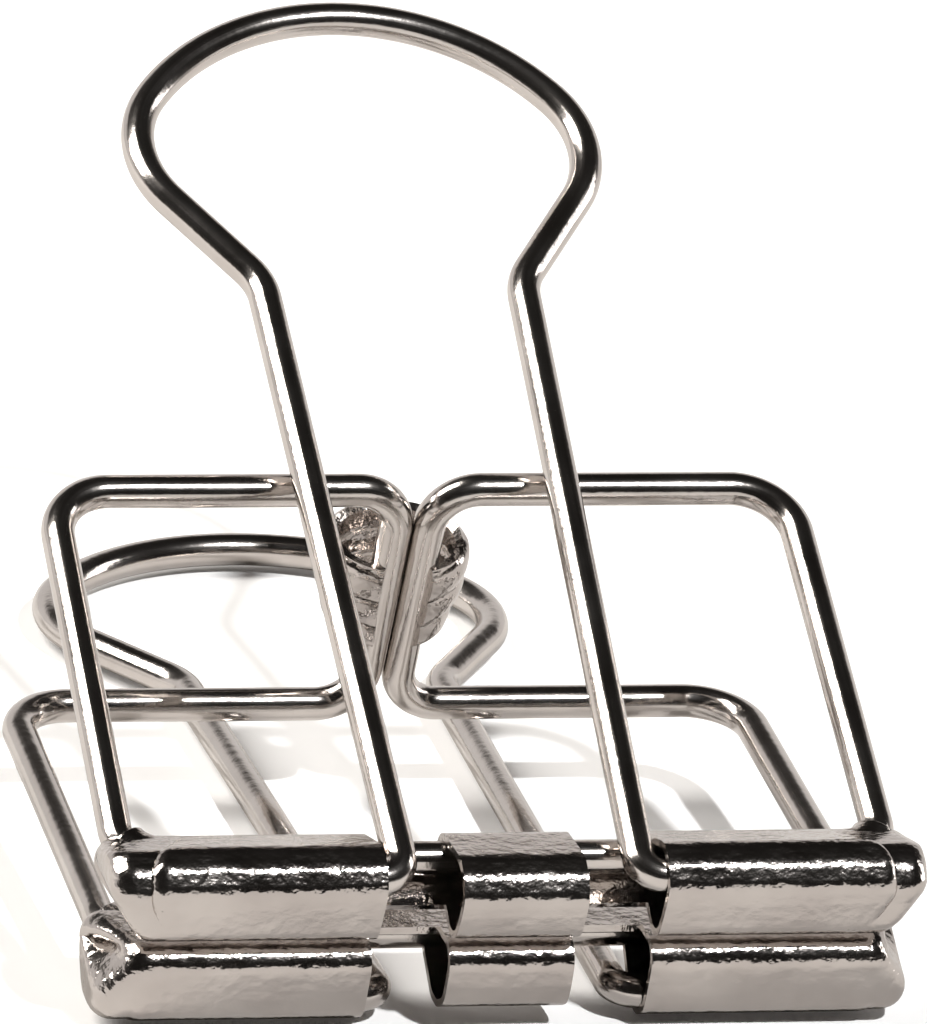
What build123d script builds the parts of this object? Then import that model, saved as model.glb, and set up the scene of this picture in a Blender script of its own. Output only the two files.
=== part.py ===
from build123d import *
import os
from math import sqrt, sin, cos, radians, atan2, tan, acos

# Binder clip bent from spring wire, millimetres.  X runs along the mouth, Y from the mouth back to
# the spine and Z up.  The origin lies midway between the two front bars.  The clip is drawn level,
# with its two jaws mirrored, and each piece is tipped at the end to lie as the clip lies on a table,
# on the roll of its lower lip and the loop of its lower handle.

# driving dimensions
wire = 1.6              # diameter of every wire
sheet = 0.35            # thickness of the folded lips
lip_length = 38.8       # length of a lip along X
bar_gap = 4.4           # between the centre lines of the two front bars
depth = 21.9            # from a front bar to a rear bar, along Y
spine_height = 13.0     # between the centre lines of the rear bars
rear_width = 36.0       # between the legs at the rear
leg_spread = 0.8        # how much further apart the legs stand at the front
foot_ahead = 3.0        # handle foot axis in front of the front bar
foot_rise = 1.3         # handle foot axis outside the front bar, along Z
face_height = 2.1       # flat front face of a lip, between its rounded edges
roll_swell = 0.5        # how much larger the roll at the handle foot is than at the other corners
roll_inset = 0.35       # how far its centre lies inside the handle foot, along Y and along Z
tab_drop = 0.6          # how much lower the middle roll stands than the outer ones
arm_spacing = 11.4      # between the arms of a handle at the foot
arm_flare = 1.4         # how much wider the arms stand at the shoulders
arm_length = 35.6       # from the foot axis to the shoulder of the handle
handle_length = 52.0    # from the foot axis to the end of the loop
loop_width = 22.0       # across the centre line of the loop
loop_side_radius = 5.4  # tightest curve at each side of the loop
side_ahead = 8.2        # centre of that curve beyond the shoulder, along the handle
shoulder_radius = 3.2   # bend where an arm turns out into the loop
foot_radius = 1.2       # bend between an arm and its foot
foot_reach = 5.4        # straight foot beyond its bend
upper_angle = 12.5      # upper handle above the XY plane at rest, degrees
lower_angle = 15.5      # lower handle below it at rest, degrees
lying_tilt = 15.1       # how far the level clip is tipped about X to lie down, degrees
corner_radius = 2.9     # rear corners of the wire frame
front_radius = 1.8      # front corners, inside the lips
spine_radius = 2.2      # bends between the rear bars and the spine
turn_at = 4.2           # distance from the middle at which a rear bar starts to twist
centre_roll = 6.0       # length of the middle roll of a lip
roll_start = 6.75       # distance from the middle to the inner end of an outer roll
end_cut = 1.5           # how far the outer ends of a lip slope in at the front
end_slope = 58          # angle of that slope in plan, degrees
web_below = 0.15        # how far below the front bar's centre the web of a lip stops
web_share = 0.6         # share of the way to the handle foot that the web reaches forward
collar = 0.3            # how far a lip's corner tube runs up the leg
lap = 0.3               # how far the corner tube laps over the end of the roll
step = 0.04             # how much wider the corner tube is than the roll it laps over
ferrule_height = 4.5    # along the spine
ferrule_width = 7.4     # across X, over the ribs
ferrule_depth = 6.2     # across Y, over the ribs
ferrule_sheet = 0.5     # thickness of its wall at a rib
ferrule_ribs = 3        # rounded ribs round it
groove = 0.16           # how far the ribs stand out of the wall between them
opening = 1.2           # half the width of its open front

# clearances
fit = 0.02              # round every wire held in a roll or a sleeve
butt = 0.03             # between two wire ends that meet

wire_r = wire / 2
roll_in = wire_r + fit
roll_out = roll_in + sheet
spine_x = wire_r + fit


def bent(points, radii):
    """Wire path through the points: straight runs joined by tangent arcs, one radius per corner."""
    pts = [Vector(*p) for p in points]
    edges, start = [], pts[0]
    for before, corner, after, radius in zip(pts, pts[1:], pts[2:], radii):
        a, b = (before - corner).normalized(), (after - corner).normalized()
        half = acos(max(-1.0, min(1.0, a.dot(b)))) / 2
        reach, mid = radius / tan(half), (a + b).normalized()
        first, last = corner + a * reach, corner + b * reach
        top = corner + mid * (radius / sin(half) - radius)
        edges += [Line(start, first), ThreePointArc(first, top, last)]
        start = last
    edges.append(Line(start, pts[-1]))
    return edges


def swept(edges, radius):
    """Round bar of one radius along connected edges."""
    path = Wire(edges)
    return sweep(Plane(path @ 0, z_dir=path % 0) * Circle(radius), path=path)


def save(name, shape):
    """Tips one named solid as the clip lies, and writes it."""
    shape = Rot(lying_tilt, 0, 0) * shape
    shape.label = name
    export_step(shape, "parts/" + name + ".step")


def flip(shape):
    """The same piece on the lower jaw."""
    return mirror(shape, about=Plane.XY)


os.makedirs("parts", exist_ok=True)

front_z, rear_z = bar_gap / 2, spine_height / 2
rear_x = rear_width / 2
front_x = rear_x + leg_spread / 2
foot_y, foot_z = -foot_ahead, front_z + foot_rise

# jaw wires: half a front bar, a leg and the outer part of a rear bar
jaw_points = [
    (butt, 0, front_z),
    (front_x, 0, front_z),
    (rear_x, depth, rear_z),
    (turn_at + butt, depth, rear_z),
]
jaw_path = bent(jaw_points, [front_radius, corner_radius])
jaw_wire = swept(jaw_path, wire_r)
for side, half in (("right", jaw_wire), ("left", mirror(jaw_wire, about=Plane.YZ))):
    save("upper_wire_" + side, half)
    save("lower_wire_" + side, flip(half))

# spine wires: the inner ends of both rear bars and the upright run between them
spine_points = [
    (turn_at, depth, rear_z),
    (spine_x, depth, rear_z),
    (spine_x, depth, -rear_z),
    (turn_at, depth, -rear_z),
]
spine_wire = swept(bent(spine_points, [spine_radius, spine_radius]), wire_r)
save("spine_wire_right", spine_wire)
save("spine_wire_left", mirror(spine_wire, about=Plane.YZ))


# ferrule: an oval sheet sleeve round the back of the spine, open to the front, with rounded ribs
def oval(width, deep, height, at_z):
    """Upright oval prism centred on the height."""
    return Pos(0, ferrule_y, at_z - height / 2) * extrude(Ellipse(width / 2, deep / 2), height)


inner_x, inner_y = ferrule_width / 2 - ferrule_sheet, ferrule_depth / 2 - ferrule_sheet
grip_y = sqrt(roll_in**2 - (opening - spine_x) ** 2)
ferrule_y = depth - grip_y + inner_y * sqrt(1 - (opening / inner_x) ** 2)
rib = ferrule_height / ferrule_ribs
ferrule = oval(ferrule_width - 2 * groove, ferrule_depth - 2 * groove, ferrule_height, 0)
for n in range(ferrule_ribs):
    level = (n + 0.5) * rib - ferrule_height / 2
    ring = oval(ferrule_width, ferrule_depth, rib * 0.8, level)
    ferrule += chamfer(ring.edges().filter_by(GeomType.LINE, reverse=True), groove * 0.9)
ferrule -= oval(2 * inner_x, 2 * inner_y, ferrule_height + 1, 0)
ferrule -= Pos(0, depth - ferrule_depth / 2, 0) * Box(2 * opening, ferrule_depth, ferrule_height + 1)
for x in (-spine_x, spine_x):
    ferrule -= Pos(x, depth, 0) * Cylinder(roll_in, ferrule_height + 1)
save("spine_ferrule", ferrule)

# lips: a strip rolled into a three-cornered sleeve, with the front bar in its back corner and the
# handle foot in its outer front corner
section = Plane.YZ


def sleeve(radius, lowered=0):
    """Outline round the bar, the handle foot and the corner at the mouth."""
    foot_roll = Pos(foot_y + roll_inset, foot_z - roll_inset - lowered) * Circle(radius + roll_swell)
    others = [Pos(*c) * Circle(radius) for c in ((0, front_z), (foot_y, foot_z - face_height))]
    return make_hull(foot_roll.edges() + others[0].edges() + others[1].edges())


def between(shape, start, end):
    """Section drawn in YZ, run along X from start to end."""
    return Pos(start, 0, 0) * extrude(section * shape, end - start)


roll_end = front_x - front_radius
lip_end = lip_length / 2
middle_roll = between(sleeve(roll_out, tab_drop) - sleeve(roll_in, tab_drop), 0, centre_roll / 2)
outer_roll = between(sleeve(roll_out) - sleeve(roll_in), roll_start, lip_end)
slope = Pos(lip_end, foot_y - roll_out, foot_z) * Rot(0, 0, end_slope)
outer_roll -= slope * Box(2 * end_cut, 2 * end_cut, 8 * wire)
# the web that joins the three rolls passes under the bar and leaves it bare above
under = Pos(-wire, front_z - 2 * wire) * Rectangle(6 * wire, 4 * wire - 2 * web_below)
behind = Pos(roll_out, 0) * Rectangle(2 * roll_out - 2 * foot_y * web_share, 9 * wire)
web_shape = (sleeve(roll_out, tab_drop) - sleeve(roll_in, tab_drop)) & under & behind
web = between(web_shape, centre_roll / 2, roll_start)
# a tube follows the wire round its front corner and a little way up the leg
start, turn, _ = bent(
    [(roll_end - lap, 0, front_z), (front_x, 0, front_z), (rear_x, depth, rear_z)], [front_radius]
)
leg = Line(turn @ 1, turn @ 1 + (turn % 1) * collar)
beyond = Line(turn @ 1, turn @ 1 + (turn % 1) * (collar + 1))
tube = swept([start, turn, leg], roll_out + step)
hole = swept([start, turn, beyond], roll_in + step / 2)
half_lip = middle_roll + web + (outer_roll + tube - hole)
lip = half_lip + mirror(half_lip, about=Plane.YZ)
save("lip_upper", lip)
save("lip_lower", flip(lip))


# handles: drawn flat in their own plane (X across, Y from the foot axis to the loop), then turned
def handle():
    """One wire loop: foot, arm, shoulder, side and end of the loop, and the same mirrored."""
    half_arm, half_loop = arm_spacing / 2, loop_width / 2
    shoulder_x = half_arm + arm_flare / 2
    side_x = half_loop - loop_side_radius
    side_y = arm_length + side_ahead
    # the end arc touches both side arcs and passes through the end of the loop
    drop = handle_length - side_y
    end_r = (side_x**2 + drop**2 - loop_side_radius**2) / (2 * (drop - loop_side_radius))
    end_y = handle_length - end_r
    # straight flank from the shoulder, touching the side arc
    away = Vector(side_x - shoulder_x, side_y - arm_length)
    lean = atan2(away.X, away.Y) + atan2(
        loop_side_radius, sqrt(away.length**2 - loop_side_radius**2)
    )
    touch_x = side_x + loop_side_radius * cos(lean)
    touch_y = side_y - loop_side_radius * sin(lean)
    corner = atan2(side_y - end_y, side_x)
    meet_x, meet_y = end_r * cos(corner), end_y + end_r * sin(corner)
    foot = half_arm + foot_radius + foot_reach
    path = bent(
        [(foot, 0, 0), (half_arm, 0, 0), (shoulder_x, arm_length, 0), (touch_x, touch_y, 0)],
        [foot_radius, shoulder_radius],
    )
    # points halfway round the side arc and halfway round the end arc, both by angle
    side_turn = (corner - lean) / 2
    side_mid = (side_x + loop_side_radius * cos(side_turn), side_y + loop_side_radius * sin(side_turn))
    end_turn = (corner + radians(90)) / 2
    end_mid = (end_r * cos(end_turn), end_y + end_r * sin(end_turn))
    path.append(ThreePointArc((touch_x, touch_y), side_mid, (meet_x, meet_y)))
    path.append(ThreePointArc((meet_x, meet_y), end_mid, (0, handle_length)))
    right = swept(path, wire_r)
    return right + mirror(right, about=Plane.YZ)


flat_handle = handle()
save("handle_upper", Pos(0, foot_y, foot_z) * Rot(upper_angle, 0, 0) * flat_handle)
save("handle_lower", flip(Pos(0, foot_y, foot_z) * Rot(lower_angle, 0, 0) * flat_handle))
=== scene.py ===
# %% [markdown]
# # An open wire binder clip
# The clip is bent from spring wire and plated with nickel.  Two wires make its frame, two rolled
# strips of sheet make its lips, two long wire loops are its handles, and a short ribbed sleeve holds
# the frame's wires together at the back.  Every piece is worked out here as a surface with numpy,
# around a fixed frame that already holds the sizes and the joints.

import math

import bmesh
import bpy
import numpy as np
from mathutils import Matrix, Vector


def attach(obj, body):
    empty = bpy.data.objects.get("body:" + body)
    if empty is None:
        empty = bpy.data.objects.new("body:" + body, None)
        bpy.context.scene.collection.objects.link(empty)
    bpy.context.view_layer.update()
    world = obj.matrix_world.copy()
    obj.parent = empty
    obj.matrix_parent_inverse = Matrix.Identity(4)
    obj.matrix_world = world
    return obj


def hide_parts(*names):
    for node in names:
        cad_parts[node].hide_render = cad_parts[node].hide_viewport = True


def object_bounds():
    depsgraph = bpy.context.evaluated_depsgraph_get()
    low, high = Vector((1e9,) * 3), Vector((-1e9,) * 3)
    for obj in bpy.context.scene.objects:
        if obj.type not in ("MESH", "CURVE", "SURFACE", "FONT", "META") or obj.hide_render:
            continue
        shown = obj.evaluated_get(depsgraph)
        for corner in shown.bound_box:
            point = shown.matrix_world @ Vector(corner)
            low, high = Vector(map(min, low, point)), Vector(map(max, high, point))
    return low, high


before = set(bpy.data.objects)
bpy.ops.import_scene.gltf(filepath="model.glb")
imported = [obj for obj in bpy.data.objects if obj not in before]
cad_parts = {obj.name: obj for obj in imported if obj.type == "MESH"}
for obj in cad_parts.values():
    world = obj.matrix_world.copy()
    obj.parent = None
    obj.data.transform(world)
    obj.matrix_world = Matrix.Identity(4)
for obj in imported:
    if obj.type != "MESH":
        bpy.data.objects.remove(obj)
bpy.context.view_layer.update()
MM = 0.001

# %% [markdown]
# The clip was drawn level, with its jaws mirrored, and then tipped about X so that it lies on a
# table.  The sizes below are those of the level clip, and `lay_down` tips a point the same way.  In
# the level clip X runs across, Y from the mouth to the spine, and Z up.

# %% Sizes of the level clip, in millimetres
wire_r, sheet = 0.8, 0.35
bar_z, rear_z, depth = 2.2, 6.5, 21.9
front_x, rear_x = 18.4, 18.0
foot_y, foot_z = -3.0, 3.5
tilt = math.radians(15.1)


def lay_down(level):
    """Turns points (..., 3) in millimetres by the tilt about X, and gives metres.

    y' = y cos t - z sin t and z' = y sin t + z cos t.
    """
    x, y, z = np.moveaxis(np.asarray(level, float), -1, 0)
    tipped = (x, y * math.cos(tilt) - z * math.sin(tilt), y * math.sin(tilt) + z * math.cos(tilt))
    return np.stack(tipped, axis=-1) * MM


print("the spine lies at", lay_down((0, depth, 0)).round(4))

# %% [markdown]
# A grid of points becomes a mesh in one go.  Both directions may close on themselves, and a row of
# points that share one place closes a tube's end.  The sign of the enclosed volume tells whether the
# faces look outwards, so a grid that was laid the other way round is simply turned over.

# %% From a grid to a mesh
sharp_from = math.radians(55)


def grid_faces(rows, cols, wrap):
    """Index quads of a grid: each joins (i, j), (i+1, j), (i+1, j+1) and (i, j+1), j wrapping."""
    i, j = np.meshgrid(np.arange(rows - 1), np.arange(cols if wrap else cols - 1), indexing="ij")
    right = (j + 1) % cols
    quads = np.stack([i * cols + j, (i + 1) * cols + j, (i + 1) * cols + right, i * cols + right], -1)
    return quads.reshape(-1, 4)


def turned_out(points, faces):
    """Reverses quads whose summed signed volume, a sixth of a . (b x c), is negative."""
    a, b, c, d = (points[faces[:, k]] for k in range(4))
    volume = np.einsum("ij,ij->", a, np.cross(b, c)) + np.einsum("ij,ij->", a, np.cross(c, d))
    return faces if volume > 0 else faces[:, ::-1]


def new_piece(name, level, faces, uv=None):
    """A smooth mesh object from level points in millimetres, index quads and a UV pair per point.

    Points that no quad uses are dropped.  A quad with two neighbouring corners in one point becomes
    a triangle, because a corner is kept only where it differs from the corner before it.
    """
    used, faces = np.unique(faces, return_inverse=True)
    points = lay_down(level.reshape(-1, 3)[used])
    faces = turned_out(points, faces.reshape(-1, 4)).astype(np.int32)
    kept = faces != np.roll(faces, 1, axis=1)
    corner = faces[kept]
    mesh = bpy.data.meshes.new(name)
    mesh.vertices.add(len(points))
    mesh.vertices.foreach_set("co", points.astype(np.float32).ravel())
    mesh.loops.add(len(corner))
    mesh.loops.foreach_set("vertex_index", corner)
    mesh.polygons.add(len(faces))
    first = np.r_[0, np.cumsum(kept.sum(axis=1))[:-1]]
    mesh.polygons.foreach_set("loop_start", first.astype(np.int32))
    mesh.update(calc_edges=True)
    mesh.shade_smooth()
    mesh.set_sharp_from_angle(angle=sharp_from)
    if uv is not None:
        layer = mesh.uv_layers.new(name="Along")
        layer.data.foreach_set("uv", uv.reshape(-1, 2)[used][corner].astype(np.float32).ravel())
    piece = bpy.data.objects.new(name, mesh)
    bpy.context.scene.collection.objects.link(piece)
    print(f"{name}: {len(mesh.vertices)} points, {len(mesh.polygons)} faces")
    return piece


# %% [markdown]
# ## Wires
# Every wire of the clip is flat: it was bent on a bench in one plane.  So its centre line is found in
# two dimensions, as straight runs joined by arcs that touch them, and only then stood in its plane.
# A curve object with a round bevel could do the same, but its rings can't be told where to lie.

# %% Centre lines
def route(corners, radii, steps=26):
    """Points along straight runs joined by arcs.

    At each corner the arc of radius r leaves the run r / tan(half the angle) before the corner, and
    its centre lies r / sin(half the angle) along the bisector.
    """
    p = np.asarray(corners, float)
    parts = [p[:1]]
    for before, at, after, r in zip(p, p[1:], p[2:], radii):
        a, b = (before - at) / np.linalg.norm(before - at), (after - at) / np.linalg.norm(after - at)
        half = math.acos(np.clip(a @ b, -1, 1)) / 2
        first = at + a * r / math.tan(half)
        centre = at + (a + b) / np.linalg.norm(a + b) * r / math.sin(half)
        sweep = math.pi - 2 * half
        sense = np.sign(np.cross(-a, b))
        t = np.linspace(0, sweep, steps)[:, None] * sense
        arm = first - centre
        parts.append(centre + np.cos(t) * arm + np.sin(t) * np.array([-arm[1], arm[0]]))
    parts.append(p[-1:])
    return np.concatenate(parts)


def length_along(line):
    """Distance from a line's first point to each of its points, along the line."""
    return np.r_[0, np.cumsum(np.linalg.norm(np.diff(line, axis=0), axis=1))]


def spaced(line, gap, nearest=0.01):
    """The same line with a point added at every gap along it, and points nearer together dropped."""
    length = length_along(line)
    at = np.unique(np.concatenate([length, np.arange(gap, length[-1], gap)]))
    at = at[np.r_[True, np.diff(at) > nearest]]
    return np.stack([np.interp(at, length, line[:, k]) for k in (0, 1)], -1)


def directions(line):
    """Unit tangents of a line: its gradient over its own length, so uneven steps don't tilt them."""
    tangent = np.gradient(line, length_along(line), axis=0)
    return tangent / np.linalg.norm(tangent, axis=1)[:, None]


# %% [markdown]
# A ring of points is then carried along the line.  The ring's two axes are the plane's normal and the
# line's own normal, so it never twists, however sharp the bend is.

# %% Wire along a centre line
wire_gap, wire_sides = 0.7, 40


def in_plane(flat, across, along):
    """Stands flat points (n, 2) in the plane of two directions: u across + v along."""
    return flat[:, :1] * across + flat[:, 1:] * along


def rings(line, across, along, sides):
    """Unit circles (n, sides, 3) square to a flat line: cos f n + sin f b.

    Here n is the line's normal in its plane and b is the plane's own normal.
    """
    tangent = directions(line)
    normal = in_plane(np.stack([-tangent[:, 1], tangent[:, 0]], -1), across, along)
    turn = np.linspace(0, 2 * math.pi, sides, endpoint=False)[None, :, None]
    return np.cos(turn) * normal[:, None] + np.sin(turn) * np.cross(across, along)


def wire(name, line, origin, across, along):
    """A round wire carried along a flat line, closed at each end by one more ring of no size.

    Point = origin + u across + v along + radius times the line's ring.  Its UV pair is the share of
    a turn and the length in metres.  The share falls back to 0 over the ring's last side, so a
    pattern that uses it has a narrow seam there.
    """
    line = spaced(line, wire_gap)
    across, along = np.asarray(across, float), np.asarray(along, float)
    order = np.r_[0, np.arange(len(line)), len(line) - 1]
    size = wire_r * np.r_[0, np.ones(len(line)), 0]
    centre = (np.asarray(origin, float) + in_plane(line, across, along))[order]
    grid = centre[:, None] + rings(line, across, along, wire_sides)[order] * size[:, None, None]
    # every corner in an end ring is that ring's first point
    index = np.arange(len(order) * wire_sides).reshape(-1, wire_sides)
    index[0], index[-1] = index[0, 0], index[-1, 0]
    faces = index.reshape(-1)[grid_faces(len(order), wire_sides, True)]
    share = np.arange(wire_sides)[None] / wire_sides
    uv = np.stack(np.broadcast_arrays(share, length_along(centre)[:, None] * MM), -1)
    return new_piece(name, grid, faces, uv)


# %% [markdown]
# ## The sprung frame
# Each half of the frame is one wire on the real clip: front bar, leg, rear bar, spine and back again
# on the other jaw.  When the jaws open, the rear bars twist about their own centre lines.  A round
# bar looks the same however far it is twisted, so the wire is parted there, and the parting stays
# closed at every opening.

# %% Jaw wires and spine wires
sideways = np.array([1.0, 0, 0])
both_jaws, both_sides = (("upper", 1), ("lower", -1)), (("right", 1), ("left", -1))
butt_x, parting_x, spine_x = 0.02, 4.2, 0.82
front_bend, rear_bend, spine_bend = 1.8, 2.9, 2.2
pieces = {}


def leg(up):
    """Unit direction and length of a jaw's leg, from the front bar to the rear bar."""
    way = np.array([0, depth, up * (rear_z - bar_z)])
    return way / np.linalg.norm(way), np.linalg.norm(way)


for jaw, up in both_jaws:
    leg_way, leg_len = leg(up)
    corners = [(butt_x, 0), (front_x, 0), (rear_x, leg_len), (parting_x, leg_len)]
    line = route(corners, [front_bend, rear_bend])
    for side, way in both_sides:
        name = f"{jaw}_jaw_wire_{side}"
        pieces[name] = wire(name, line, (0, 0, up * bar_z), way * sideways, leg_way)
        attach(pieces[name], f"{jaw}_jaw")
        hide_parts(f"{jaw}_wire_{side}")
corners = [(parting_x, rear_z), (spine_x, rear_z), (spine_x, -rear_z), (parting_x, -rear_z)]
line = route(corners, [spine_bend, spine_bend])
for side, way in both_sides:
    name = f"spine_wire_{side}"
    pieces[name] = wire(name, line, (0, depth, 0), way * sideways, (0, 0, 1))
    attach(pieces[name], "spine")
    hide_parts(f"spine_wire_{side}")

# %% [markdown]
# ## Handles
# A handle is a long loop.  Its arms run almost parallel, kick outwards at the shoulders, and close in
# a wide end made of three arcs that touch one another: one at each side and a flatter one at the end.
# Its feet turn outwards into the rolls of the lip.

# %% Handle line
arm_x, shoulder_x, arm_len = 5.7, 6.4, 35.6
handle_len, loop_x, side_r, side_ahead = 52.0, 11.0, 5.4, 8.2
foot_reach, foot_bend, shoulder_bend = 6.6, 1.2, 3.2
arc_points = 40


def handle_line():
    """Half the loop, from the foot to the middle of its end.

    The end arc's radius R follows from touching the side arc of radius r and passing through the end:
    R = (x^2 + d^2 - r^2) / (2 (d - r)), with x and d the side centre's distance across and short of it.
    """
    side_x, side_y = loop_x - side_r, arm_len + side_ahead
    d = handle_len - side_y
    end_r = (side_x**2 + d**2 - side_r**2) / (2 * (d - side_r))
    end_y = handle_len - end_r
    away = math.atan2(side_x - shoulder_x, side_y - arm_len)
    reach = math.hypot(side_x - shoulder_x, side_y - arm_len)
    lean = away + math.atan2(side_r, math.sqrt(reach**2 - side_r**2))
    corner = math.atan2(side_y - end_y, side_x)
    touch = (side_x + side_r * math.cos(lean), side_y - side_r * math.sin(lean))
    foot = [(arm_x + foot_reach, 0), (arm_x, 0), (shoulder_x, arm_len), touch]
    a = np.linspace(-lean, corner, arc_points)[1:, None]
    b = np.linspace(corner, math.pi / 2, arc_points)[1:, None]
    side = (side_x, side_y) + side_r * np.concatenate([np.cos(a), np.sin(a)], 1)
    end = (0, end_y) + end_r * np.concatenate([np.cos(b), np.sin(b)], 1)
    return np.concatenate([route(foot, [foot_bend, shoulder_bend]), side, end])


# %% Handles
half = handle_line()
loop = np.concatenate([half, (half * (-1, 1))[-2::-1]])
print("length of wire in a handle, in millimetres:", length_along(loop)[-1].round(1))
for (jaw, up), angle in zip(both_jaws, (12.5, 15.5)):
    a = math.radians(angle)
    name = f"{jaw}_handle_loop"
    way = (0, math.cos(a), up * math.sin(a))
    pieces[name] = wire(name, loop, (0, foot_y, up * foot_z), sideways, way)
    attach(pieces[name], f"{jaw}_handle")
    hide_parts(f"handle_{jaw}")

# %% [markdown]
# ## Lips
# A lip is one strip of thin sheet, rolled into a sleeve round the front bar, the handle's foot and
# the edge at the mouth.  Its outline is what a circle sweeps when its centre runs round a polygon: an
# arc at each corner and straight lines between.  Arcs and lines get the same number of points on
# every outline, so outlines of different shape still join into one grid.

# %% Outline of the sleeve
arc_steps, flat_steps = 12, 5


def sleeve(corners, radius):
    """Offset of polygons (n, k, 2) by a radius, as (n, m, 2) points, anticlockwise.

    At a corner the angle runs from the outward normal of the side before it to that of the side after.
    """
    after = np.roll(corners, -1, axis=1) - corners
    normal = np.arctan2(-after[..., 0], after[..., 1])
    before = np.roll(normal, 1, axis=1)
    sweep = (normal - before) % (2 * math.pi)
    angle = before[..., None] + sweep[..., None] * np.linspace(0, 1, arc_steps)
    arcs = corners[:, :, None] + radius * np.stack([np.cos(angle), np.sin(angle)], -1)
    start, end = arcs[:, :, -1:], np.roll(arcs, -1, axis=1)[:, :, :1]
    between = np.linspace(0, 1, flat_steps + 2)[1:-1, None]
    flats = start + (end - start) * between
    return np.concatenate([arcs, flats], 2).reshape(len(corners), -1, 2)


def smooth(x, low, high):
    """0 below low, 1 above high, and 3t^2 - 2t^3 between."""
    t = np.clip((x - low) / (high - low), 0, 1)
    return t * t * (3 - 2 * t)


# %% [markdown]
# The polygon changes along the lip.  Its corners are the bar, four points close together that make
# the large round roll about the handle's foot, and the edge at the mouth.  Near the lip's end the
# roll drops a little, past a seam that slants over the top, and the end is rounded over before the
# corner of the wire.  Where the handle's arms swing, the sheet is cut away and only a web under the
# bar is left.  A boolean could make that cut, but leaving the faces out keeps the grid even.

# %% Rolled strip
snug, middle_drop, mouth_drop = 0.02, 0.6, 2.1
middle_end, roll_start, slant_start, seam_x, lip_end = 3.0, 6.75, 12.8, 16.5, 18.5
seam_back, seam_ahead, end_slope = 0.9, 1.2, 1.2
roll_points = [(0.62, 0.10), (0.18, 0.00), (-0.10, -0.28), (-0.10, -0.72)]
end_drop, end_set_back = {1: 0.42, -1: 0.06}, {1: 0.30, -1: 0.06}
round_r, heart_drop, web_below, web_share = 0.95, 1.1, 0.15, 0.6


def lip_outlines(x, up):
    """The sleeve's outline at each x, as (n, m, 2) points of level y and z."""
    middle = 1 - smooth(x, roll_start - 0.25, roll_start - 0.05)
    end = smooth(x, seam_x - 0.3, seam_x + 0.3)
    top = foot_z - middle_drop * middle - end_drop[up] * end
    front = foot_y + end_set_back[up] * end
    corners = np.zeros((len(x), 2 + len(roll_points), 2))
    corners[:, 0] = (0, bar_z)
    for k, (dy, dz) in enumerate(roll_points, start=1):
        corners[:, k, 0], corners[:, k, 1] = front + dy, top + dz
    corners[:, -1] = (foot_y, foot_z - mouth_drop)
    return sleeve(corners, wire_r + snug + sheet / 2)


def slanted(x, ring):
    """Each outline point's own x: the seam runs slantwise over the top, the end in down the face.

    From the slant's start to the seam and on to the end, x is stretched in two straight steps.
    """
    forward = smooth(-ring[..., 0], -0.6, 3.4)
    low = smooth(foot_z - ring[..., 1], 0.2, 3.2)
    seam = seam_x - seam_back * (1 - forward) + seam_ahead * forward * (1 - low)
    last = lip_end - end_slope * forward * low
    x = x[:, None]
    before = slant_start + (seam - slant_start) * (x - slant_start) / (seam_x - slant_start)
    after = seam + (last - seam) * (x - seam_x) / (lip_end - seam_x)
    return np.where(x < slant_start, x, np.where(x < seam_x, before, after))


def rounded_end(x, ring):
    """Rows that round the end over: the last outline shrinks by a quarter circle, then closes.

    The outline moves out by r sin t and in towards its heart by r (1 - cos t).
    """
    heart = np.array([0, (bar_z + foot_z - heart_drop) / 2])
    spread = np.linalg.norm(ring - heart, axis=1)[:, None]
    t = np.linspace(0, math.pi / 2, 9)[1:, None]
    inward = round_r * (1 - np.cos(t))[..., None]
    shrunk = heart + (ring - heart) * np.clip(1 - inward / spread, 0, 1)
    closing = np.array([0.7, 0.4, 0.02])[:, None, None]
    shrunk = np.concatenate([shrunk, heart + (shrunk[-1] - heart) * closing])
    out = x + round_r * np.sin(t)
    out = np.concatenate([out, out[-1:].repeat(len(closing), 0)])
    return out, shrunk


def lip(name, up):
    """Half a lip as a grid of outlines along x, mirrored, with the cut-outs left open."""
    near = np.r_[0, 0.25, 0.8, 1.5, middle_end - np.r_[0.8, 0.25, 0]]
    gap = np.linspace(middle_end, roll_start, 7)[1:-1]
    far = np.linspace(roll_start + 0.45, seam_x - 0.9, 22)
    seam = np.linspace(seam_x - 0.7, seam_x + 0.9, 13)
    end = np.linspace(seam_x + 1.1, lip_end, 4)
    x = np.r_[near, gap, roll_start, roll_start + 0.15, far, seam, end]
    ring = lip_outlines(x, up)
    across = slanted(x, ring)
    out, cap = rounded_end(across[-1], ring[-1])
    across, outline = np.concatenate([across, out]), np.concatenate([ring, cap])
    grid = np.stack([across, outline[..., 0], up * outline[..., 1]], -1)
    rows, cols = grid.shape[:2]
    faces = grid_faces(rows, cols, True)
    row, col = faces[:, 0] // cols, faces[:, 0] % cols
    in_gap = (row >= len(near) - 1) & (row < len(near) + len(gap))
    y, z = outline[row, col, 0], outline[row, col, 1]
    web = (z < bar_z - web_below) & (y > foot_y * web_share)
    faces = faces[~in_gap | web]
    both = np.concatenate([grid, grid * (-1, 1, 1)])
    faces = np.concatenate([faces, faces[:, ::-1] + rows * cols])
    return new_piece(name, both, faces)


# %% [markdown]
# The strip is so far a surface without a wall.  Solidify gives it one, and a small bevel takes the
# hardness off the cut edges, as a stamping tool leaves them.

# %% Joining and thickening
def weld(piece, distance=0.02 * MM):
    """Joins points closer than the distance, such as those along the mirror line."""
    b = bmesh.new()
    b.from_mesh(piece.data)
    bmesh.ops.remove_doubles(b, verts=b.verts, dist=distance)
    b.to_mesh(piece.data)
    b.free()


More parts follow.
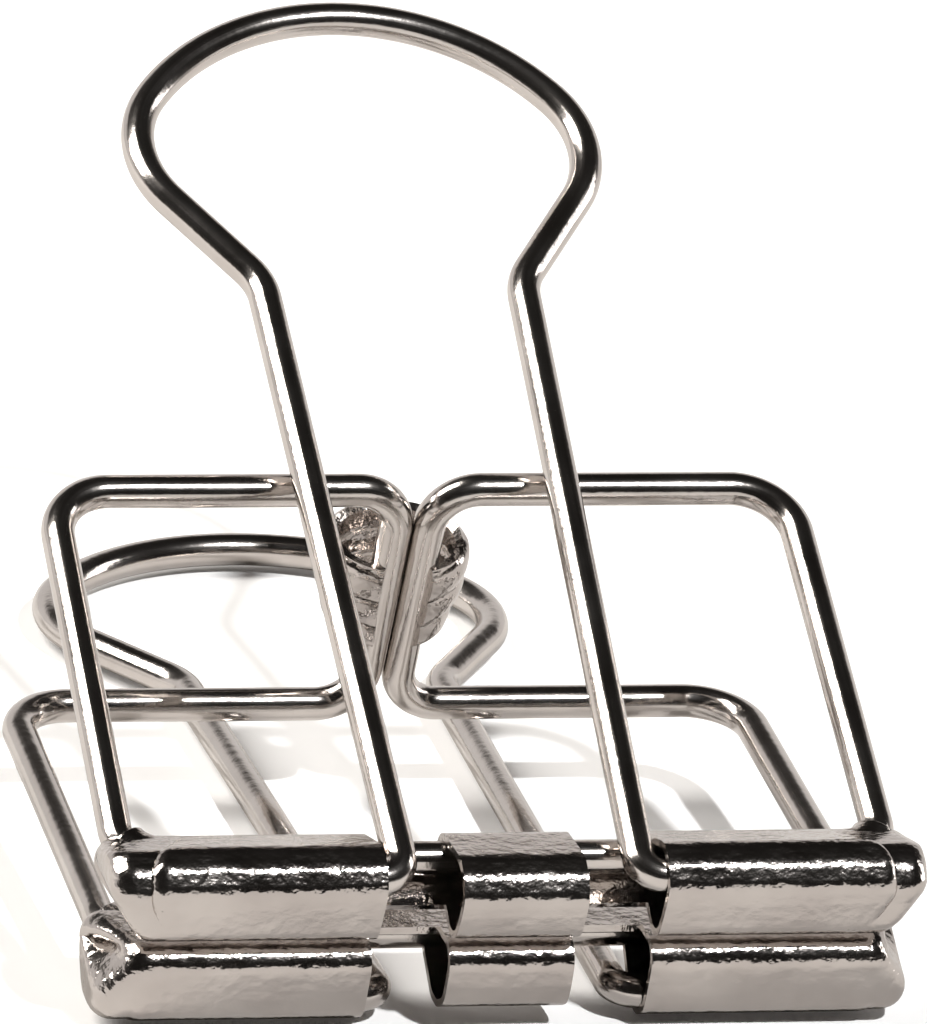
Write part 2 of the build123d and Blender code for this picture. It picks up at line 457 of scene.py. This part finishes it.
def thicken(piece, thickness, edge=0.07):
    """Gives a surface its wall, centred on it, and rounds the cut edges."""
    wall = piece.modifiers.new("Wall", "SOLIDIFY")
    wall.thickness, wall.offset = thickness * MM, 0
    rim = piece.modifiers.new("Rim", "BEVEL")
    rim.width, rim.segments, rim.limit_method = edge * MM, 2, "ANGLE"
    rim.angle_limit, rim.harden_normals = math.radians(50), True


# %% [markdown]
# Round each front corner of the frame a tab of the same sheet is wrapped on the wire.  It is a short
# tube that follows the bend for about two thirds of the way, cut slantwise where it meets the roll.

# %% Corner tabs
tab_start, tab_gap, tab_sides = 16.2, 0.25, 36
bend_points, kept_points = 20, 15
tab_clearance, tab_edge, tab_bulge = 0.03, 0.06, 0.05
mitre, mitre_rings = 1.2, 7


def tab(name, up, way):
    """Wall of a tube round the wire's front corner, as one grid closed both ways.

    Its rings run out along the outside, round the end in the bend, and back along the inside.  The
    rings near the start slide along x by how far forward each point is, which shears them to a mitre.
    """
    leg_way, leg_len = leg(up)
    corners = [(tab_start, 0), (front_x, 0), (rear_x, leg_len)]
    line = spaced(route(corners, [front_bend], bend_points)[:kept_points], tab_gap)
    across = way * sideways
    inner, n = wire_r + tab_clearance, len(line)
    outer, rim = inner + sheet, inner + sheet - tab_edge
    middle = (inner + outer) / 2
    order = np.r_[0, np.arange(n), n - 1, np.arange(n)[::-1]]
    size = np.r_[middle, rim, np.full(n - 2, outer), rim, middle, np.full(n, inner)]
    nudge = np.zeros(len(order))
    nudge[[0, n + 1]] = -tab_bulge, tab_bulge
    centre = np.array([0, 0, up * bar_z]) + in_plane(line, across, leg_way)
    centre = centre[order] + in_plane(directions(line), across, leg_way)[order] * nudge[:, None]
    ring = rings(line, across, leg_way, tab_sides)[order]
    grid = centre[:, None] + ring * size[:, None, None]
    share = np.clip(1 - order / mitre_rings, 0, 1)[:, None]
    grid[..., 0] += way * share * mitre * smooth(-grid[..., 1], -0.9, 0.9)
    # the row after the last is the first again
    index = np.arange((len(order) + 1) * tab_sides) % (len(order) * tab_sides)
    return new_piece(name, grid, index[grid_faces(len(order) + 1, tab_sides, True)])


# %% Lips and tabs
for jaw, up in both_jaws:
    name = f"{jaw}_lip_sleeve"
    pieces[name] = lip(name, up)
    weld(pieces[name])
    thicken(pieces[name], sheet)
    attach(pieces[name], f"{jaw}_jaw")
    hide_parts(f"lip_{jaw}")
    for side, way in both_sides:
        name = f"{jaw}_lip_tab_{side}"
        pieces[name] = tab(name, up, way)
        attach(pieces[name], f"{jaw}_jaw")

# %% [markdown]
# ## Ferrule
# Behind the spine sits a short oval sleeve, open to the front, that keeps the two spine wires side by
# side.  Three rounded ribs run round it, a little tilted, and it was squeezed towards its lower rim.

# %% Ribbed ferrule
half_h, ribs, half_opening = 2.25, 3, 1.15
oval_x, oval_y, oval_middle = 3.30, 2.72, 23.62
rib_height, groove, rib_tilt, rim_turn, squeezed = 0.22, 0.10, 0.30, 0.22, 0.16


def ferrule(name):
    """Oval (a sin f, m - b cos f) over the angles that leave the front open, swelled by ribs.

    Both half axes grow by h |sin(phase)|^(1/2) - g, where the phase runs through one half turn for
    each rib and is tilted by cos f.  The rims turn in, and x shrinks towards the lower rim.
    """
    start = math.asin(half_opening / oval_x)
    f = np.linspace(start, 2 * math.pi - start, 73)[None]
    z = np.linspace(-half_h, half_h, 61)[:, None]
    phase = np.pi * ribs * ((z + rib_tilt * np.cos(f)) / (2 * half_h) + 0.5)
    rib = np.sqrt(np.abs(np.sin(phase))) * rib_height - groove
    rib = rib - rim_turn * smooth(np.abs(z), half_h - 0.3, half_h)
    x = (oval_x + rib) * (1 - squeezed * smooth(-z, -0.6, half_h)) * np.sin(f)
    y = oval_middle - (oval_y + rib) * np.cos(f)
    grid = np.stack([x, y, np.broadcast_to(z, x.shape)], -1)
    piece = new_piece(name, grid, grid_faces(*x.shape, False))
    thicken(piece, 0.4, 0.08)
    return piece


pieces["spine_sleeve"] = ferrule("spine_sleeve")
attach(pieces["spine_sleeve"], "spine")
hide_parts("spine_ferrule")

# %% [markdown]
# ## Finishes
# Bright nickel is a metal with a warm grey colour.  Its gloss isn't even: the wire keeps faint
# lengthwise lines from the die it was drawn through, and the plating has a soft unevenness.  The
# small class below lets a pattern be written as a sum, and adds the Math nodes for it.

# %% Shader maths
class Val:
    """A socket with arithmetic: +, -, * and their reflected forms add Math nodes."""

    def __init__(self, tree, socket):
        self.tree, self.socket = tree, socket

    def node(self, kind, settings=None, inputs=None, out=0):
        """Adds a node: its settings first, then values or links for its sockets by name or index."""
        n = self.tree.nodes.new(kind)
        for key, value in (settings or {}).items():
            if key == "ramp":
                stops = n.color_ramp.elements
                while len(stops) < len(value):
                    stops.new(0.5)
                for stop, (at, shade) in zip(stops, value):
                    stop.position, stop.color = at, (*shade, 1) if len(shade) == 3 else shade
            else:
                setattr(n, key, value)
        for key, value in (inputs or {}).items():
            if isinstance(value, Val):
                self.tree.links.new(value.socket, n.inputs[key])
            else:
                n.inputs[key].default_value = value
        return Val(self.tree, n.outputs[out])

    def maths(self, operation, a, b):
        return self.node("ShaderNodeMath", {"operation": operation}, {0: a, 1: b})

    def __add__(self, other):
        return self.maths("ADD", self, other)

    def __mul__(self, other):
        return self.maths("MULTIPLY", self, other)

    def __sub__(self, other):
        return self.maths("SUBTRACT", self, other)

    def __rsub__(self, other):
        return self.maths("SUBTRACT", other, self)

    __radd__, __rmul__ = __add__, __mul__

def blank(name):
    """A material with its Principled shader, and a Val to start expressions from."""
    material = bpy.data.materials.new(name)
    material.use_nodes = True
    tree = material.node_tree
    shader = tree.nodes["Principled BSDF"]
    return material, shader, Val(tree, None)


def link(tree, value, socket):
    """Joins a Val to a socket of a shader."""
    tree.links.new(value.socket, socket)


# %% [markdown]
# Wire and sheet are the same plating over different surfaces.  The wire's lines follow its own
# length, through the UV pair made with it, and the sheet's are stretched along X.  Fine grain and
# soft waves go into one Bump node, since they are far too shallow to be worth points in the mesh.

# %% Bright nickel
def nickel(name, tint, dull, lines, uneven):
    """Nickel plate: colour, roughness and bump all follow the same few patterns.

    Roughness = dull - 0.085 + 0.10 cloud + 0.07 mark, and the bump adds waves, dents, marks and
    grain.  The tint is a pair of colours that the cloud blends.
    """
    material, shader, v = blank(name)
    tree = material.node_tree
    place = v.node("ShaderNodeTexCoord", out="Object")
    cloud = v.node("ShaderNodeTexNoise", {"noise_dimensions": "3D"},
                   {"Vector": place, "Scale": 260.0, "Detail": 3.0, "Roughness": 0.55})
    grain = v.node("ShaderNodeTexNoise", {}, {"Vector": place, "Scale": 5200.0, "Detail": 2.0})
    wave = v.node("ShaderNodeTexNoise", {}, {"Vector": place, "Scale": 900.0, "Detail": 1.0})
    if lines:
        around = v.node("ShaderNodeUVMap", {"uv_map": "Along"})
        drawn = v.node("ShaderNodeMapping", {}, {"Vector": around, "Scale": (70.0, 160.0, 1.0)})
        mark = v.node("ShaderNodeTexNoise", {"noise_dimensions": "2D"},
                      {"Vector": drawn, "Scale": 1.0, "Detail": 2.0})
    else:
        brushed = v.node("ShaderNodeMapping", {}, {"Vector": place, "Scale": (500.0, 4200.0, 4200.0)})
        mark = v.node("ShaderNodeTexNoise", {}, {"Vector": brushed, "Scale": 1.0, "Detail": 2.0})
    shade = v.node("ShaderNodeValToRGB", {"ramp": [(0.3, tint[0]), (0.7, tint[1])]}, {"Fac": cloud})
    link(tree, shade, shader.inputs["Base Color"])
    link(tree, cloud * 0.10 + mark * 0.07 + (dull - 0.085), shader.inputs["Roughness"])
    dent = v.node("ShaderNodeTexNoise", {}, {"Vector": place, "Scale": 2300.0, "Detail": 2.0})
    height = wave * uneven + dent * (uneven * 0.9) + mark * 0.12 + grain * 0.05
    bump = v.node("ShaderNodeBump", {}, {"Strength": 0.35, "Distance": 0.00006, "Height": height})
    link(tree, bump, shader.inputs["Normal"])
    shader.inputs["Metallic"].default_value = 1.0
    return material


wire_tint = ((0.58, 0.54, 0.51), (0.68, 0.64, 0.61))
sheet_tint = ((0.50, 0.46, 0.435), (0.60, 0.56, 0.53))
wire_nickel = nickel("bright nickel wire", wire_tint, 0.15, True, 0.5)
sheet_nickel = nickel("bright nickel sheet", sheet_tint, 0.14, False, 3.0)
for name, piece in pieces.items():
    is_wire = "wire" in name or "handle" in name
    piece.data.materials.append(wire_nickel if is_wire else sheet_nickel)
print("finishes:", {name: piece.data.materials[0].name for name, piece in pieces.items()})

# %% [markdown]
# ## Table, light and camera
# Polished metal shows its surroundings, so they matter as much as the metal.  A pale table lies
# below.  A grey card just above it is seen only by reflections, so it darkens the underside of the
# metal and leaves the table as pale as it was.

# %% Table and card
low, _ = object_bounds()
table_gap, card_gap = 0.0003, 0.0001


def sheet_of(name, colour, height, reach=3.0):
    """A level square of plain matt material about the origin."""
    square = bpy.data.objects.new(name, bpy.data.meshes.new(name))
    corners = [(sx * reach, sy * reach, height) for sx, sy in ((-1, -1), (1, -1), (1, 1), (-1, 1))]
    square.data.from_pydata(corners, [], [(0, 1, 2, 3)])
    bpy.context.scene.collection.objects.link(square)
    material, shader, _ = blank(name)
    shader.inputs["Base Color"].default_value = (*colour, 1)
    shader.inputs["Roughness"].default_value = 0.9
    square.data.materials.append(material)
    return square


table = sheet_of("pale_table", (0.93, 0.93, 0.93), low.z - table_gap)
card = sheet_of("grey_card", (0.50, 0.485, 0.47), low.z - card_gap)
card.visible_camera = card.visible_shadow = card.visible_diffuse = False
print("table", table.name, "and card", card.name, "below", round(low.z, 5))

# %% [markdown]
# A long soft box at the left gives the wide bright bands, and a weak one low at the right lights the
# edges that face it.  The sun, a few degrees wide, throws the shadows and the small highlights.

# %% Lights
def soft_box(name, place, aim, size, power, colour=(1, 1, 1)):
    """A rectangular area light at a place, looking at a point."""
    light = bpy.data.lights.new(name, "AREA")
    light.shape, light.size, light.size_y = "RECTANGLE", *size
    light.energy, light.color = power, colour
    lamp = bpy.data.objects.new(name, light)
    bpy.context.scene.collection.objects.link(lamp)
    lamp.location = place
    lamp.rotation_euler = (Vector(aim) - Vector(place)).to_track_quat("-Z", "Y").to_euler()
    return lamp


middle = (0, 0.02, 0.005)
soft_box("left box", (-0.66, 0.22, 0.66), middle, (0.36, 0.80), 13, (1, 0.965, 0.92))
soft_box("right card", (0.9, 0.1, 0.12), middle, (0.2, 0.9), 2.2, (1, 0.97, 0.95))
sun = bpy.data.objects.new("sun", bpy.data.lights.new("sun", "SUN"))
sun.data.energy, sun.data.angle = 3.5, math.radians(3)
sun.rotation_euler = Vector((-0.27, 0.52, -0.81)).to_track_quat("-Z", "Y").to_euler()
bpy.context.scene.collection.objects.link(sun)
print("lights:", [item.name for item in bpy.data.lights])

# %% [markdown]
# The room is a shade that depends only on the direction: pale near the table's level, a little higher
# up at the back, and dark above that.  Metal reflects the darkness between the bright bands, which
# gives it contrast.

# %% Room
world = bpy.data.worlds.new("room")
bpy.context.scene.world = world
world.use_nodes = True
room = Val(world.node_tree, None)
sky = room.node("ShaderNodeTexCoord", out="Generated")
up_part = room.node("ShaderNodeSeparateXYZ", {}, {"Vector": sky}, out="Z")
back_part = room.node("ShaderNodeSeparateXYZ", {}, {"Vector": sky}, out="Y")
shade = room.node("ShaderNodeValToRGB", {"ramp": [
    (0.0, (0.75, 0.72, 0.70)), (0.04, (0.60, 0.57, 0.55)), (0.13, (0.05, 0.045, 0.042)),
    (0.5, (0.012, 0.011, 0.010))]}, {"Fac": up_part - back_part * 0.42})
link(world.node_tree, shade, world.node_tree.nodes["Background"].inputs["Color"])

# %% [markdown]
# A long lens from most of a metre away keeps the handles almost parallel.  The camera looks down from
# the front and a little to the left, and is rolled slightly.

# %% Camera
eye = Vector((-0.22148, -0.70831, 0.33066))
look = Vector((0.27095, 0.88125, -0.38728))
roll = math.radians(6.488)
camera = bpy.data.objects.new("camera", bpy.data.cameras.new("camera"))
bpy.context.scene.collection.objects.link(camera)
camera.data.lens, camera.data.sensor_width = 614.75, 36
camera.data.clip_start, camera.data.clip_end = 0.05, 20
turn = look.to_track_quat("-Z", "Y").to_matrix().to_4x4() @ Matrix.Rotation(roll, 4, "Z")
camera.matrix_world = Matrix.Translation(eye) @ turn
bpy.context.scene.camera = camera
bpy.context.scene.view_settings.view_transform = "Standard"
print("camera's distance in metres:", round(eye.length, 3))
